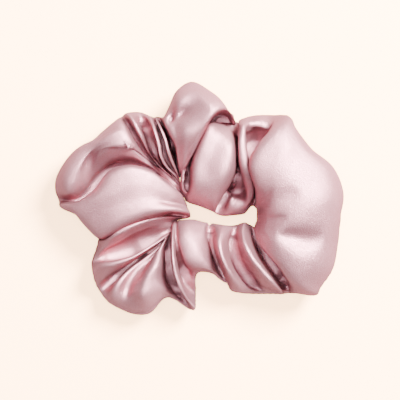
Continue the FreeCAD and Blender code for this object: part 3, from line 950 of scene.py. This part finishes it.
satin_thread = thread_material("dusty_pink_polyester_thread", "#A8727C")
elastic_thread = thread_material("white_polyester_thread", "#E9E6E0")
white_elastic = elastic_material()
print("materials:", ", ".join(m.name for m in (satin_thread, elastic_thread, white_elastic)))

# %% [markdown]
# ## Sew the seams

# %% Materials on pieces, and stitches
cover.data.materials.append(satin)
elastic.data.materials.append(white_elastic)

satin_stitches = stitch_nodes(satin_thread)
threads = [stitched(name, path, True, satin_stitches) for name, path in seam_paths().items()]
lap_stitches = stitch_nodes(elastic_thread)
lap_threads = [
    stitched("elastic_lap_needle_thread_row", zigzag_path(1), False, lap_stitches),
    stitched("elastic_lap_bobbin_thread_row", zigzag_path(-1), False, lap_stitches),
]
for row in threads:
    row.name = row.name + "_row"
print("stitched:", ", ".join(row.name for row in threads + lap_threads))

# %% [markdown]
# ## The new pieces in place of the imported parts
#
# Every new piece has its placement baked into its mesh, and the imported halves of the tube and the elastic,
# and the imported threads, are hidden.

# %% Pieces in place of the parts
for piece in [cover, elastic] + threads + lap_threads:
    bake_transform(piece)

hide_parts("satin_tube_upper", "satin_tube_lower")
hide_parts("elastic_band_upper", "elastic_band_lower")
for row, nodes in zip(threads, (["long_seam_needle_thread_upper", "long_seam_needle_thread_lower"],
                                ["long_seam_bobbin_thread_upper", "long_seam_bobbin_thread_lower"],
                                ["closing_seam_needle_thread"], ["closing_seam_bobbin_thread"])):
    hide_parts(*nodes)
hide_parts("elastic_lap_needle_thread")
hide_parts("elastic_lap_bobbin_thread")
print("pieces on bodies:", 2 + len(threads) + len(lap_threads))

# %% [markdown]
# ## The floor
#
# The scrunchie lies on a plain pale floor, which glows softly so that it looks evenly bright.

# %% Floor
FLOOR_GLOW = 5.0
FLOOR_REACH = 2.0     # metres from the middle to each side


def floor_material():
    """Matt opal acrylic lit from behind. Only the view sees its glow, so the satin keeps its own shine."""
    material, tree = new_material("opal_acrylic")
    seen = add(tree, "ShaderNodeLightPath").outputs["Is Camera Ray"]
    place = add(tree, "ShaderNodeTexCoord").outputs["Object"]
    relief = bump(tree, noise(tree, place, 900.0), 0.05, 0.0001)
    bright = add(tree, "ShaderNodeBsdfPrincipled", Base_Color=linear("#FFC896"), Roughness=0.9, Normal=relief,
                 Emission_Color=linear("#FFCB98"), Emission_Strength=FLOOR_GLOW)
    dim = add(tree, "ShaderNodeBsdfPrincipled", Base_Color=linear("#948B84"), Roughness=0.9, Normal=relief)
    card = add(tree, "ShaderNodeMixShader", _0=seen, _1=dim.outputs["BSDF"], _2=bright.outputs["BSDF"])
    add(tree, "ShaderNodeOutputMaterial", Surface=card.outputs["Shader"])
    return material


def square_floor():
    """A flat square on the ground."""
    r = FLOOR_REACH
    mesh = bpy.data.meshes.new("floor")
    mesh.from_pydata([(-r, -r, 0), (r, -r, 0), (r, r, 0), (-r, r, 0)], [], [(0, 1, 2, 3)])
    mesh.materials.append(floor_material())
    return placed("floor", mesh)


floor = square_floor()
print("floor laid")

# %% [markdown]
# ## Light
#
# One soft light stands high on the right, a little behind, so that the shadows fall softly to the lower left.
# A weaker one overhead and the pale room fill them.

# %% Lights
KEY_POWER = 87        # watts
OVERHEAD_POWER = 15
ROOM_LIGHT = 0.4


def soft_light(name, place, size, power, colour):
    """A round softbox that faces the scrunchie."""
    light = bpy.data.lights.new(name, "AREA")
    light.shape = "DISK"
    light.size = size
    light.energy = power
    light.color = linear(colour)[:3]
    lamp = placed(name, light)
    lamp.location = place
    lamp.rotation_euler = (-Vector(place)).to_track_quat("-Z", "Y").to_euler()


soft_light("key", (0.38, 0.36, 0.60), 0.32, KEY_POWER, "#FFFBF7")
soft_light("overhead", (-0.05, 0.05, 1.0), 0.50, OVERHEAD_POWER, "#FFFFFF")

world = bpy.data.worlds.new("studio")
world.use_nodes = True
world.node_tree.nodes.clear()
air = add(world.node_tree, "ShaderNodeBackground", Color=linear("#FFF8F2"), Strength=ROOM_LIGHT)
add(world.node_tree, "ShaderNodeOutputWorld", Surface=air.outputs["Background"])
bpy.context.scene.world = world
print("lights set")

# %% [markdown]
# ## Camera
#
# The camera looks straight down. Its lens makes the view 160 mm wide at the height of the satin's broad
# parts.

# %% Camera
VIEW_WIDTH = 0.160
VIEW_MIDDLE = 0.0004
CAMERA_HEIGHT = 0.90
SATIN_HEIGHT = 0.008

camera = bpy.data.cameras.new("camera")
camera.sensor_width = 36
camera.lens = camera.sensor_width * (CAMERA_HEIGHT - SATIN_HEIGHT) / VIEW_WIDTH
eye = placed("camera", camera)
eye.location = (VIEW_MIDDLE, 0, CAMERA_HEIGHT)
bpy.context.scene.camera = eye
print("camera set, lens", round(camera.lens), "mm")
